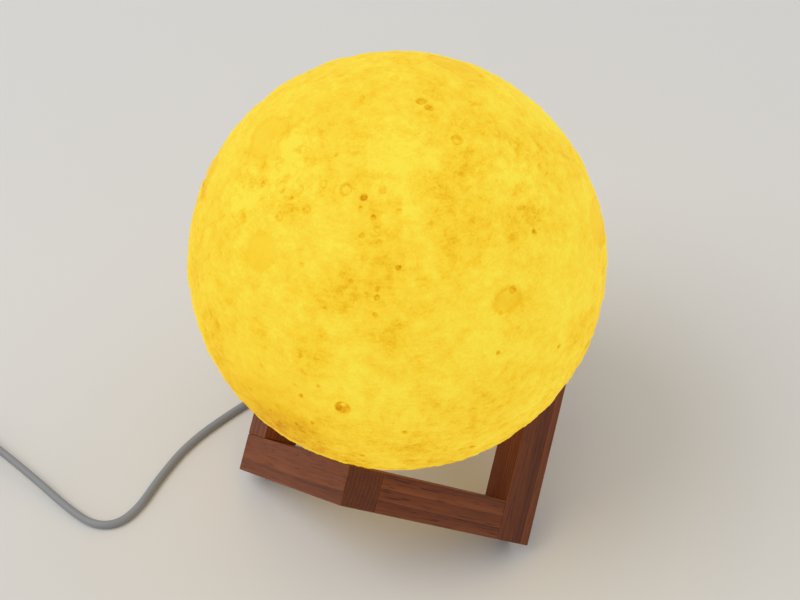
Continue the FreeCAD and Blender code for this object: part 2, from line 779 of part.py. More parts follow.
def make_cable():
    exit_flat = polar(port_offset, base_turn)
    outward = polar(1, base_turn)
    exit_z = base_z + boot_low
    # down out of the boot and over to the table in three even turns
    step = (exit_z - on_table) / (1 + math.cos(math.pi / 6) + math.cos(math.pi / 3))
    leave = Vector(exit_flat.x, exit_flat.y, exit_z)
    bend = [
        leave,
        leave - Z * step,
        leave + outward * step * math.sin(math.pi / 6) - Z * step * (1 + math.cos(math.pi / 6)),
        leave + outward * step * (math.sin(math.pi / 6) + math.sin(math.pi / 3)),
    ]
    bend[-1].z = on_table
    # under the stand's left bar, round to the front, and back out to the left
    laid = [
        (-31.5, 10.6, 0.0), (-50.0, 16.5, 0.0), (-66.5, 12.2, 0.0), (-79.0, -6.8, 0.0),
        (-89.2, -26.4, 0.0), (-93.3, -46.4, 0.0), (-94.7, -61.2, 0.0), (-99.0, -71.3, 0.0),
        (-108.5, -75.2, 0.2), (-121.5, -71.6, 1.0), (-140.0, -63.8, 2.6),
    ]
    mouth, tail, coil_length = make_coil()
    points = bend + [Vector(x, y, on_table + lift) for x, y, lift in laid]
    points += [mouth - coil_heading(0) * coil_approach, mouth]
    run_length = make_free_tube("cable_run", points)
    end, heading = make_supply_plug()
    points = [
        tail,
        tail + coil_heading(coil_turns) * coil_leave,
        end - heading * boot_approach,
        end,
    ]
    points[1].z = lower_layer
    tail_length = make_free_tube("cable_tail", points)
    print(f"cable in all {run_length + coil_length + tail_length:.0f} mm")


os.makedirs("parts", exist_ok=True)
stand = make_stand()
globe = make_globe()
print(f"globe centre {globe_z:.2f}, base face {base_z:.2f}, stand tips {tip_height:.2f} high")
print("globe to stand", round(min(globe.distToShape(bar)[0] for bar in stand), 3))
make_cover()
make_screws()
make_housing()
make_board()
make_button()
make_port()
make_column()
make_wires()
make_lamp_plug()
make_tie()
make_cable()
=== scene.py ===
# Moon lamp: a printed globe in a ring of six wooden bars, dressed for rendering.
import json
import math

import bpy
import numpy as np
from mathutils import Matrix, Vector, noise

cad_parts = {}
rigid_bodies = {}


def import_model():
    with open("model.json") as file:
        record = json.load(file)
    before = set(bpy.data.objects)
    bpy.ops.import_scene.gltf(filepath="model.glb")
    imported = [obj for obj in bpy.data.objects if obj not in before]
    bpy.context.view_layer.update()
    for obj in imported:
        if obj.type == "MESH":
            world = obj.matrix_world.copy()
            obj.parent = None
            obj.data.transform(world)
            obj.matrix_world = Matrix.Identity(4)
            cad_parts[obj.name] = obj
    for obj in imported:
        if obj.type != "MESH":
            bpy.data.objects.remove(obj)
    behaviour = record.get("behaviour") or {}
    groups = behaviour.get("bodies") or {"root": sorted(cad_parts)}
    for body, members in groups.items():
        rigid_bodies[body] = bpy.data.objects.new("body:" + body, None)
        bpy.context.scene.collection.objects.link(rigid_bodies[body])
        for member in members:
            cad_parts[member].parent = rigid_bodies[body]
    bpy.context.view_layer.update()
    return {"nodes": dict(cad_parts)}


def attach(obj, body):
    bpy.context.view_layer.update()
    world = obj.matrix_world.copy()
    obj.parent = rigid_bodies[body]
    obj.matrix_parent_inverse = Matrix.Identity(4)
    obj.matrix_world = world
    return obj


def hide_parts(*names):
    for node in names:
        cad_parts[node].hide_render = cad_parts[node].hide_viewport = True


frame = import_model()
nodes = frame["nodes"]
mm = 0.001
print("frame loaded:", len(nodes), "nodes")


# ---- small helpers
def deselectAll():
    for obj in bpy.context.view_layer.objects:
        obj.select_set(False)


def activate(obj):
    deselectAll()
    obj.select_set(True)
    bpy.context.view_layer.objects.active = obj


def polar(radius, degrees, height=0.0):
    angle = math.radians(degrees)
    return Vector((radius * math.cos(angle), radius * math.sin(angle), height))


def linear(hexColour):
    # sRGB hex to the linear values that sockets take
    channels = [int(hexColour[i:i + 2], 16) / 255 for i in (1, 3, 5)]
    return [c / 12.92 if c <= 0.04045 else ((c + 0.055) / 1.055) ** 2.4 for c in channels] + [1]


def perMetre(sizeMm):
    # scale of a pattern whose features are this many millimetres apart
    return 1000 / sizeMm


def waveScale(sizeMm):
    # the same for a wave texture, whose bands are pi / 10 apart at a scale of 1
    return 314 / sizeMm


def addNode(tree, kind, settings=None, inputs=None, stops=None):
    node = tree.nodes.new("ShaderNode" + kind)
    for name, value in (settings or {}).items():
        setattr(node, name, value)
    for name, value in (inputs or {}).items():
        if isinstance(value, bpy.types.NodeSocket):
            tree.links.new(value, node.inputs[name])
        else:
            node.inputs[name].default_value = value
    for i, (position, hexColour) in enumerate(stops or ()):
        elements = node.color_ramp.elements
        element = elements[i] if i < len(elements) else elements.new(position)
        element.position = position
        element.color = linear(hexColour)
    return node


def startMaterial(name):
    material = bpy.data.materials.new(name)
    material.use_nodes = True
    tree = material.node_tree
    shader = tree.nodes["Principled BSDF"]
    place = addNode(tree, "TexCoord").outputs["Object"]
    return material, tree, shader, place


def dress(obj, material):
    if obj.material_slots:
        for slot in obj.material_slots:
            slot.material = material
    else:
        obj.data.materials.append(material)


# ---- camera, where the photograph was taken from: angles in degrees, lengths in mm
camera = {
    "azimuth": 21.68, "elevation": 47.61, "roll": -3.53,
    "distance": 586.5, "aimRight": -2.38, "aimUp": 40.53, "aimHeight": 32.13,
    "lens": 65.78, "sensor": 36.0,
}


def placeCamera():
    azimuth, elevation = math.radians(camera["azimuth"]), math.radians(camera["elevation"])
    back = Vector((math.sin(azimuth) * math.cos(elevation),
                   -math.cos(azimuth) * math.cos(elevation), math.sin(elevation)))
    right = (-back).cross(Vector((0, 0, 1))).normalized()
    up = back.cross(right)
    roll = math.radians(camera["roll"])
    right, up = (right * math.cos(roll) + up * math.sin(roll),
                 up * math.cos(roll) - right * math.sin(roll))
    place = (back * camera["distance"] + right * camera["aimRight"] + up * camera["aimUp"]
             + Vector((0, 0, camera["aimHeight"])))
    deselectAll()
    bpy.ops.object.camera_add()
    obj = bpy.context.object
    obj.name = "photoCamera"
    obj.data.lens = camera["lens"]
    obj.data.sensor_width = camera["sensor"]
    obj.data.clip_start, obj.data.clip_end = 0.02, 20
    turn = Matrix((right, up, back)).transposed().to_4x4()
    obj.matrix_world = Matrix.Translation(place * mm) @ turn
    bpy.context.scene.camera = obj


placeCamera()
print("camera placed")

# ---- charging cord: down from its boot, under the stand's left bar, out to the left and round
# to a tied coil; the route's points are the ones that the CAD tube follows
cord = {
    "diameter": 3.2, "tableGap": 0.05, "length": 987.0,
    "exitRadius": 9.0, "exitAngle": 165.0, "exitHeight": 20.80,
    "laid": [
        (-31.5, 10.6, 0.0), (-50.0, 16.5, 0.0), (-66.5, 12.2, 0.0), (-79.0, -6.8, 0.0),
        (-89.2, -26.4, 0.0), (-93.3, -46.4, 0.0), (-94.7, -61.2, 0.0), (-99.0, -71.3, 0.0),
        (-108.5, -75.2, 0.2), (-121.5, -71.6, 1.0), (-140.0, -63.8, 2.6),
    ],
    "coilCentre": (-189.6, -71.3), "coilRadius": 24.0, "entryAngle": 70.0,
    "turnsIn": 3.25, "turnsOut": 3.0, "turnGap": 0.5, "coilLift": 0.7,
    "approach": 14.0, "pointsPerTurn": 24, "coilLeave": 9.0,
    "plugEnd": (-228.2, -97.5, 4.05), "plugHeading": 238.0, "plugApproach": 9.5,
}
cordRadius = cord["diameter"] / 2
turnStep = cord["diameter"] + cord["turnGap"]
lowerLayer = cord["coilLift"] + cordRadius
coilTurns = cord["turnsIn"] + cord["turnsOut"]


def coilPoint(turns):
    # spirals in on the upper layer, comes down in half a turn, and spirals out again
    inwards = turns if turns < cord["turnsIn"] else 2 * cord["turnsIn"] - turns
    done = min(1, max(0, turns - cord["turnsIn"] + 0.25) * 2)
    height = lowerLayer + turnStep * (1 - done * done * (3 - 2 * done))
    flat = polar(cord["coilRadius"] - turnStep * inwards, cord["entryAngle"] + 360 * turns)
    return Vector((cord["coilCentre"][0] + flat.x, cord["coilCentre"][1] + flat.y, height))


def coilHeading(turns):
    small = 1e-4
    before = coilPoint(max(0, turns - small))
    after = coilPoint(min(coilTurns, turns + small))
    return (after - before).normalized()


def cordPoints():
    onTable = cordRadius + cord["tableGap"]
    outward = polar(1, cord["exitAngle"])
    leave = polar(cord["exitRadius"], cord["exitAngle"], cord["exitHeight"])
    step = (cord["exitHeight"] - onTable) / (1 + math.cos(math.pi / 6) + math.cos(math.pi / 3))
    down = Vector((0, 0, -step))
    points = [leave, leave + down, leave + outward * step / 2 + down * (1 + math.sqrt(3) / 2),
              leave + outward * step * (1 + math.sqrt(3)) / 2]
    points[-1].z = onTable
    points += [Vector((x, y, onTable + lift)) for x, y, lift in cord["laid"]]
    mouth = coilPoint(0) - coilHeading(0) * cord["diameter"]
    points += [mouth - coilHeading(0) * cord["approach"], mouth]
    count = round(coilTurns * cord["pointsPerTurn"])
    points += [coilPoint(i / cord["pointsPerTurn"]) for i in range(count + 1)]
    tail = coilPoint(coilTurns) + coilHeading(coilTurns) * cord["diameter"]
    heading = polar(1, cord["plugHeading"])
    end = Vector(cord["plugEnd"])
    turned = tail + coilHeading(coilTurns) * cord["coilLeave"]
    turned.z = lowerLayer
    return points + [tail, turned, end - heading * cord["plugApproach"], end]


def makeCord():
    points = cordPoints()
    curve = bpy.data.curves.new("chargingCord", "CURVE")
    curve.dimensions = "3D"
    spline = curve.splines.new("NURBS")
    spline.points.add(len(points) - 1)
    for point, place in zip(spline.points, points):
        point.co = (*(place * mm), 1)
        point.radius = cordRadius * mm  # with a depth of 1, so that the piece's box is its own
    spline.order_u = 3
    spline.use_endpoint_u = True
    spline.resolution_u = 5
    curve.bevel_depth = 1.0
    curve.bevel_resolution = 5
    curve.use_fill_caps = True
    obj = bpy.data.objects.new("chargingCord", curve)
    bpy.context.scene.collection.objects.link(obj)
    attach(obj, "stand")
    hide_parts("cable_run", "cable_coil", "cable_tail")
    return obj


# ---- the moulded grips of the cable's two plugs: depth, width and length of each, its rounding
# along the length and at the ends, the grooves for the fingers, and how it lies: where its foot
# is, the way its depth faces, and the way that it points
upward = Vector((0, 0, 1))
supplyBootLength = 9.0
grips = {
    "lampPlugGrip": {
        "node": "plug_grip", "size": (7.6, 10.6, 13.3), "cornerRound": 1.6, "endRound": 0.6,
        "grooves": 5, "grooveStart": 2.6, "groovePitch": 1.6, "grooveWidth": 0.8,
        "grooveDepth": 0.35, "foot": polar(cord["exitRadius"], cord["exitAngle"], 27.8),
        "depthFaces": polar(1, cord["exitAngle"]), "heading": upward,
    },
    "supplyPlugGrip": {
        "node": "supply_plug_grip", "size": (8.0, 15.5, 21.0), "cornerRound": 2.4,
        "endRound": 0.8, "grooves": 6, "grooveStart": 4.0, "groovePitch": 2.0,
        "grooveWidth": 0.9, "grooveDepth": 0.45,
        "foot": Vector(cord["plugEnd"]) + polar(supplyBootLength, cord["plugHeading"]),
        "depthFaces": upward, "heading": polar(1, cord["plugHeading"]),
    },
}
edgeSoftening = 0.12


def selectEdges(mesh, test):
    # leaves selected only the edges whose two ends pass the test; works in object mode
    for part in (mesh.vertices, mesh.polygons):
        part.foreach_set("select", [False] * len(part))
    for edge in mesh.edges:
        edge.select = test(*(mesh.vertices[i].co.z for i in edge.vertices))


def bevelEdges(mesh, test, radius, segments):
    bpy.ops.object.mode_set(mode="OBJECT")
    selectEdges(mesh, test)
    bpy.ops.object.mode_set(mode="EDIT")
    bpy.ops.mesh.bevel(offset=radius * mm, segments=segments, affect="EDGES")


def makeGrip(name, grip):
    # a block is rounded and ringed with cuts, and the bands between each two cuts are sunk
    depth, width, length = (side * mm for side in grip["size"])
    hair = 1e-6
    deselectAll()
    bpy.ops.mesh.primitive_cube_add(size=1, location=(0, 0, length / 2))
    obj = bpy.context.object
    obj.name = name
    obj.scale = (depth, width, length)
    bpy.ops.object.transform_apply(location=True, rotation=True, scale=True)
    mesh = obj.data
    bpy.ops.object.mode_set(mode="EDIT")
    bpy.ops.mesh.select_mode(type="EDGE")
    bevelEdges(mesh, lambda a, b: abs(a - b) > length / 2, grip["cornerRound"], 6)
    bevelEdges(mesh, lambda a, b: max(a, b) < hair, grip["endRound"], 3)
    bevelEdges(mesh, lambda a, b: min(a, b) > length - hair, grip["endRound"], 3)

    bands = []
    for i in range(grip["grooves"]):
        low = grip["grooveStart"] + i * grip["groovePitch"]
        bands.append((low * mm, (low + grip["grooveWidth"]) * mm))
    for height in sum(bands, ()):
        bpy.ops.mesh.select_all(action="SELECT")
        bpy.ops.mesh.bisect(plane_co=(0, 0, height), plane_no=(0, 0, 1))
    bpy.ops.mesh.select_mode(type="FACE")
    bpy.ops.mesh.select_all(action="DESELECT")
    bpy.ops.object.mode_set(mode="OBJECT")
    for face in mesh.polygons:
        face.select = any(low < face.center.z < high for low, high in bands)
    bpy.ops.object.mode_set(mode="EDIT")
    bpy.ops.mesh.extrude_region_shrink_fatten(
        TRANSFORM_OT_shrink_fatten={"value": -grip["grooveDepth"] * mm})
    bpy.ops.mesh.select_all(action="DESELECT")
    bpy.ops.object.mode_set(mode="OBJECT")

    soften = obj.modifiers.new("soften", "BEVEL")
    soften.width, soften.segments = edgeSoftening * mm, 2
    soften.limit_method, soften.angle_limit = "ANGLE", math.radians(60)
    bpy.ops.object.modifier_apply(modifier="soften")
    bpy.ops.object.shade_smooth_by_angle(angle=math.radians(35))
    facing, heading = grip["depthFaces"], grip["heading"]
    lay = Matrix((facing, heading.cross(facing), heading)).transposed().to_4x4()
    obj.matrix_world = Matrix.Translation(grip["foot"] * mm) @ lay
    bpy.ops.object.transform_apply(location=True, rotation=True, scale=True)
    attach(obj, "stand")
    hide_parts(grip["node"])
    return obj


gripPieces = [makeGrip(name, grip) for name, grip in grips.items()]
print("grips made:", [len(obj.data.polygons) for obj in gripPieces], "faces")
cordPiece = makeCord()
print("cord made")

# ---- globe: printed shell with cratered relief, all of it cut inwards from the full radius
globe = {
    "radius": 75.0, "centreHeight": 113.15, "wall": 1.8, "openingHeight": 41.30,
    "lipHeight": 0.35, "triangles": 168000, "lowest": -1.15, "rest": -0.42,
    "seed": 27, "smallCraters": 1500, "front": (-68, 47), "refineReach": 1.35,
}
# sizes and heights of the relief in mm, and how much each part of it darkens or brightens, with a
# painted shade towards the bottom
relief = {
    "broadSize": 34, "lumpSize": 7.5, "grainSize": 2.6,
    "broadHeight": 0.10, "lumpHeight": 0.46, "grainHeight": 0.30,
    "plainDepth": 0.22, "plainRim": 0.10, "plainCalm": 0.62, "plainLine": 0.9,
    "restTone": 0.52, "broadTone": 0.26, "lumpTone": 0.10, "grainTone": 0.15,
    "paintedLowShade": 0.26, "lineShade": 0.15, "patchGain": 1.3,
    "kneeTone": 0.58, "kneeRoom": 0.14, "kneeWidth": 0.20,
}
# each by longitude and latitude in degrees, radius and depth in mm, darkness of its floor and of
# its inner wall, brightness of its rim
namedCraters = [
    (-93.3, 62.4, 2.3, 0.45, 0.00, 0.45, 0.16), (-83.1, 61.3, 1.4, 0.60, 0.55, 0.30, 0.00),
    (-106.5, 61.9, 1.5, 0.35, 0.05, 0.40, 0.10), (-115.9, 57.8, 1.8, 0.30, 0.10, 0.25, 0.10),
    (-124.9, 55.4, 2.3, 0.35, 0.00, 0.35, 0.12), (-122.3, 55.0, 0.8, 0.25, 0.40, 0.20, 0.00),
    (-107.6, 54.5, 1.9, 0.40, 0.14, 0.30, 0.12), (-117.0, 49.5, 1.8, 0.30, 0.00, 0.30, 0.15),
    (-134.4, 44.3, 1.5, 0.25, 0.05, 0.20, 0.10), (-83.7, 58.5, 1.0, 0.30, 0.30, 0.20, 0.00),
    (-77.5, 56.6, 1.1, 0.30, 0.25, 0.25, 0.05), (-81.4, 52.0, 1.1, 0.30, 0.25, 0.20, 0.06),
    (-75.6, 53.8, 1.2, 0.25, -0.10, 0.25, 0.15), (-73.7, 63.6, 1.4, 0.30, 0.15, 0.35, 0.05),
    (-70.6, 60.5, 1.0, 0.25, 0.20, 0.25, 0.05), (-66.0, 58.0, 1.1, 0.25, 0.15, 0.25, 0.05),
    (-110.3, 69.8, 1.0, 0.30, 0.35, 0.20, 0.00), (178.7, 83.3, 1.1, 0.25, 0.16, 0.15, 0.05),
    (98.4, 80.0, 1.6, 0.30, 0.10, 0.35, 0.15), (21.5, 81.5, 2.1, 0.35, 0.35, 0.20, 0.05),
    (8.0, 79.5, 1.8, 0.40, 0.40, 0.20, 0.05), (-14.3, 69.3, 2.2, 0.40, 0.02, 0.50, 0.15),
    (-17.9, 39.6, 1.2, 0.40, 0.50, 0.25, 0.05), (-68.1, 44.5, 1.1, 0.35, 0.45, 0.20, 0.05),
    (-34.0, 31.2, 1.6, 0.30, 0.16, 0.20, 0.10), (-49.8, 33.2, 0.9, 0.25, 0.12, 0.10, 0.04),
    (-43.0, 17.1, 1.1, 0.35, 0.45, 0.20, 0.12), (-24.3, 7.7, 1.0, 0.35, 0.45, 0.20, 0.05),
    (-84.4, 5.8, 2.7, 0.80, 0.30, 0.75, 0.12), (-84.4, 6.3, 0.8, -0.50, -0.45, 0.00, 0.00),
    (-107.8, 10.6, 1.0, 0.25, 0.16, 0.12, 0.05), (-95.7, 6.2, 1.0, 0.30, 0.40, 0.15, 0.05),
    (-93.3, -3.5, 0.9, 0.30, 0.35, 0.15, 0.05), (-90.6, 11.4, 0.9, 0.25, 0.30, 0.15, 0.05),
    (-69.0, -2.7, 1.3, 0.35, 0.40, 0.20, 0.05), (-80.9, -15.8, 1.2, 0.35, 0.40, 0.20, 0.05),
    (-50.6, -18.3, 1.3, 0.35, 0.45, 0.20, 0.05), (-101.0, 41.7, 1.1, 0.25, 0.25, 0.15, 0.05),
    (-83.4, 40.8, 1.0, 0.25, 0.10, 0.10, 0.05), (-75.1, 37.4, 1.2, 0.25, 0.30, 0.15, 0.05),
    (-75.6, 33.3, 1.0, 0.25, 0.30, 0.15, 0.05),
]
# smooth plains: longitude, latitude, half length, half width, bearing of the long side, tone
plains = [
    (-158.7, 57.8, 10.8, 7.4, 60, 0.02), (-147.0, 34.0, 5.5, 3.8, 0, 0.26),
    (-173.0, 31.5, 17.0, 7.0, 90, -0.16), (-117.0, 40.1, 6.9, 6.4, 30, -0.04),
    (120.0, 25.0, 21.0, 12.0, 70, -0.06), (138.0, 40.0, 13.0, 9.0, 20, -0.06),
    (60.0, -8.0, 16.0, 11.0, 20, -0.06), (15.0, 18.0, 13.0, 8.0, 120, -0.07),
    (-175.0, -30.0, 11.0, 8.0, 90, -0.05), (70.0, 60.0, 12.0, 7.0, 110, -0.05),
    (-37.2, 29.5, 5.6, 4.2, 77, -0.10),
]
# soft patches where the print is thicker (darker) or thinner (brighter): place, radius, tone
patches = [
    (-115.3, 53.4, 9, -0.20), (-103.3, 55.6, 3.2, 0.35), (-86.2, 36.5, 11, -0.13),
    (-92.3, 21.3, 8, -0.27),
    (-74.3, 25.7, 7, -0.20), (-46.8, 46.0, 9, -0.21), (-13.0, 45.2, 9, -0.09),
    (-40.6, 61.4, 7, -0.12), (-63.4, 66.9, 6, 0.20), (-10.1, 55.0, 10, 0.12),
    (-83.1, 23.3, 8, 0.15), (-94.0, 45.0, 9, 0.12), (-57.8, 47.4, 7, 0.10),
    (-108.3, -9.0, 22, -0.20), (-127.0, -3.0, 17, -0.15), (-88.0, -19.0, 14, -0.10),
    (-150.0, 22.0, 18, -0.10), (90.0, 52.0, 16, 0.12),
    (150.0, 5.0, 18, 0.10), (35.0, 40.0, 14, 0.10), (-5.0, -20.0, 18, -0.10),
    (100.0, -15.0, 15, 0.12), (75.0, 20.0, 12, -0.14), (-170.0, 10.0, 14, -0.12),
]
# places with more wrinkles and grain than elsewhere: place, radius, gain
wrinkles = [
    (-140, 63, 8, 1.2), (-121, 58, 9, 0.6), (-136, 48, 10, 0.8), (-8, 52, 16, 0.5),
    (-108, -4, 21, -0.7), (-60, 74, 14, 0.4), (60, 30, 18, 0.6), (150, 30, 16, 0.6),
    (-20, -10, 14, 0.5),
]
# bright rays: where they start, and each one's bearing, length, width and strength
rayCentre = (-63.4, 66.9)
rays = [
    (168, 62, 1.3, 0.24), (182, 48, 1.0, 0.18), (205, 30, 1.4, 0.14), (58, 26, 2.4, 0.14),
    (98, 34, 2.0, 0.12),
    (132, 28, 1.5, 0.10), (250, 22, 1.8, 0.12), (300, 24, 1.6, 0.10), (12, 20, 1.8, 0.12),
]


def direction(longitude, latitude):
    lon, lat = math.radians(longitude), math.radians(latitude)
    return np.array([math.cos(lat) * math.cos(lon), math.cos(lat) * math.sin(lon),
                     math.sin(lat)])


def distanceFrom(dirs, up):
    # in mm along the globe
    return globe["radius"] * np.arccos(np.clip(dirs @ up, -1, 1))


def localPlan(dirs, centre, bearing=0.0):
    # east and north offsets in mm from a point on the globe, turned by a bearing
    up = direction(*centre)
    east = np.cross([0, 0, 1], up)
    east /= np.linalg.norm(east)
    north = np.cross(up, east)
    turn = math.radians(bearing)
    ahead = north * math.cos(turn) + east * math.sin(turn)
    side = east * math.cos(turn) - north * math.sin(turn)
    angle = np.arccos(np.clip(dirs @ up, -1, 1))
    flat = dirs - np.outer(dirs @ up, up)
    flat *= (globe["radius"] * angle / np.maximum(np.linalg.norm(flat, axis=1), 1e-9))[:, None]
    return flat @ side, flat @ ahead


def fade(value, start, end):
    t = np.clip((value - start) / (end - start), 0, 1)
    return t * t * (3 - 2 * t)


def terrain(dirs, size, octaves, offset):
    scale = globe["radius"] / size
    return np.array([noise.fractal(Vector(d * scale) + offset, 1.0, 2.1, octaves) for d in dirs])


def addCrater(dirs, height, tone, crater):
    longitude, latitude, radius, depth, dark, ring, bright = crater
    up = direction(longitude, latitude)
    near = np.nonzero(dirs @ up > math.cos(2.6 * radius / globe["radius"]))[0]
    if not len(near):
        return
    x = distanceFrom(dirs[near], up) / radius
    wall = fade(x, 0.35, 1.0)  # x is 0 at the crater's centre and 1 at its rim
    rim = np.exp(-((x - 1.08) / 0.20) ** 2) + 0.25 * np.exp(-np.maximum(x - 1.1, 0) * 3)
    rim *= fade(x, 0.6, 1.0) * fade(x, 2.6, 1.8)
    height[near] += -depth * (1 - wall) * (x < 1) + 0.35 * depth * rim
    inner = dark * fade(x, 0.98, 0.60) + ring * np.exp(-((x - 0.82) / 0.26) ** 2)
    tone[near] += bright * rim - inner


def smallCraters():
    random = np.random.RandomState(globe["seed"])
    front = direction(*globe["front"])
    craters = []
    for i in range(globe["smallCraters"]):
        latitude = math.degrees(math.asin(random.uniform(-0.95, 1)))
        longitude = random.uniform(-180, 180)
        radius = 0.7 * random.uniform(0.02, 1) ** -0.45
        dark, ring, bright, sunk = random.uniform(0, 1, 4)
        if direction(longitude, latitude) @ front > 0.2:
            radius = min(radius, 1.1)  # the large ones on this side are the named ones
        radius = min(radius, 4.2)
        depth = min(radius, 2.4) * (0.10 + 0.10 * sunk)
        craters.append((longitude, latitude, radius, depth, 0.13 * dark * dark,
                        0.17 * ring, 0.12 * bright))
    return craters


def shapeMoon(dirs):
    # height in mm above the rest level, tone from 0 (dark) to 1 (bright), and roughness
    broad = terrain(dirs, relief["broadSize"], 3, Vector((3.1, 0.4, 7.7)))
    lumps = terrain(dirs, relief["lumpSize"], 3, Vector((11.0, 5.2, 1.3)))
    grain = terrain(dirs, relief["grainSize"], 2, Vector((0.7, 9.1, 4.2)))
    height = relief["broadHeight"] * broad
    rough = np.ones(len(dirs))
    # painted shade: the glow darkens towards the bottom of the globe, standing in for the shadow
    # that the base inside casts on the lower shell
    under = fade(dirs[:, 2], 0.25, -0.7)
    tone = relief["restTone"] + relief["broadTone"] * broad - relief["paintedLowShade"] * under
    for longitude, latitude, length, width, bearing, shade in plains:
        side, ahead = localPlan(dirs, (longitude, latitude), bearing)
        edge = np.hypot(side / width, ahead / length) + 0.16 * lumps + 0.30 * broad
        inside = fade(edge, 1.15, 0.88)
        rough *= 1 - relief["plainCalm"] * inside
        height -= relief["plainDepth"] * inside
        height += relief["plainRim"] * np.exp(-((edge - 1.15) / 0.08) ** 2)
        tone += shade * inside
        line = np.exp(-((edge - 1.05) * width / relief["plainLine"]) ** 2)
        tone -= relief["lineShade"] * line * (1 + lumps)
    for longitude, latitude, radius, gain in wrinkles:
        distance = distanceFrom(dirs, direction(longitude, latitude))
        rough += gain * np.exp(-(distance / radius) ** 2)
    for longitude, latitude, radius, shade in patches:
        distance = distanceFrom(dirs, direction(longitude, latitude))
        soft = np.exp(-(distance / radius) ** 2) * (1 + 0.5 * lumps)
        tone += relief["patchGain"] * shade * soft
    for bearing, length, width, strength in rays:
        side, ahead = localPlan(dirs, rayCentre, bearing)
        along = fade(ahead, 0, 4) * fade(ahead, length, length * 0.3)
        spread = width * (1 + ahead / length)
        tone += strength * along * np.exp(-(side / spread) ** 2) * (1 + 0.8 * grain)
    for crater in smallCraters():
        addCrater(dirs, height, tone, crater)
    height += rough * (relief["lumpHeight"] * lumps + relief["grainHeight"] * grain)
    tone += rough * (relief["lumpTone"] * lumps + relief["grainTone"] * grain)
    for crater in namedCraters:
        addCrater(dirs, height, tone, crater)
    height = np.clip(height + globe["rest"], globe["lowest"], 0)
    # the brightest places level off below 1, so that the material's finer marks still show there
    over = np.maximum(tone - relief["kneeTone"], 0)
    tone = np.minimum(tone, relief["kneeTone"])
    tone += relief["kneeRoom"] * np.tanh(over / relief["kneeWidth"])
    return height, np.maximum(tone, 0), rough


def readPlaces(mesh):
    places = np.zeros(len(mesh.vertices) * 3, np.float32)
    mesh.vertices.foreach_get("co", places)
    return places.reshape(-1, 3).astype(float)


def pointsFrom(mesh, centre):
    dirs = readPlaces(mesh) - centre
    return dirs / np.linalg.norm(dirs, axis=1)[:, None]


def refineCraters(obj, centre, craters):
    # the faces in and round the craters are split, so that the rims come out crisp
    mesh = obj.data
    dirs = pointsFrom(mesh, centre)
    near = np.zeros(len(dirs), bool)
    for crater in craters:
        reach = globe["refineReach"] * crater[2] / globe["radius"]
        near |= dirs @ direction(*crater[:2]) > math.cos(reach)
    corners = np.zeros(len(mesh.polygons) * 3, np.int32)
    mesh.polygons.foreach_get("vertices", corners)
    chosen = near[corners.reshape(-1, 3)].any(axis=1)
    bpy.ops.object.mode_set(mode="EDIT")
    bpy.ops.mesh.select_mode(type="FACE")
    bpy.ops.mesh.select_all(action="DESELECT")
    bpy.ops.object.mode_set(mode="OBJECT")
    mesh.polygons.foreach_set("select", chosen)
    bpy.ops.object.mode_set(mode="EDIT")
    bpy.ops.mesh.subdivide(number_cuts=1)
    bpy.ops.mesh.select_all(action="SELECT")
    bpy.ops.mesh.quads_convert_to_tris()
    bpy.ops.object.mode_set(mode="OBJECT")


def makeGlobe():
    centre = Vector((0, 0, globe["centreHeight"]))
    deselectAll()
    bpy.ops.mesh.primitive_ico_sphere_add(subdivisions=8, radius=globe["radius"] * mm,
                                          location=centre * mm)
    obj = bpy.context.object
    obj.name = "moonGlobe"
    bpy.ops.object.transform_apply(location=True, rotation=True, scale=True)
    mesh = obj.data
    middle = np.array(centre) * mm
    activate(obj)
    refineCraters(obj, middle, namedCraters + [c for c in smallCraters() if c[2] > 1.0])
    refineCraters(obj, middle, namedCraters)
    dirs = pointsFrom(mesh, middle)
    height, tone, rough = shapeMoon(dirs)
    flat = fade(dirs[:, 2], -0.93, -0.90)  # the print is smooth round the opening
    height *= flat
    places = middle + dirs * ((globe["radius"] + height) * mm)[:, None]
    mesh.vertices.foreach_set("co", places.astype(np.float32).ravel())
    for name, values in (("tone", tone), ("rough", rough)):
        attribute = mesh.attributes.new(name, "FLOAT", "POINT")
        attribute.data.foreach_set("value", values.astype(np.float32))
    mesh.update()
    print("relief cut:", len(mesh.vertices), "points,", round(float(height.min()), 2), "mm deep")

    share = globe["triangles"] / len(mesh.polygons)
    thin = obj.modifiers.new("thin", "DECIMATE")
    thin.ratio = share
    bpy.ops.object.modifier_apply(modifier="thin")
    return obj


moonPiece = makeGlobe()
print("globe made:", len(moonPiece.data.polygons), "triangles")


def pickFaces(mesh, test):
    # leaves selected only the faces whose corners all pass the test; works in object mode
    passed = [test(vertex.co) for vertex in mesh.vertices]
    for vertex in mesh.vertices:
        vertex.select = False
    for edge in mesh.edges:
        edge.select = False
    for face in mesh.polygons:
        face.select = all(passed[i] for i in face.vertices)


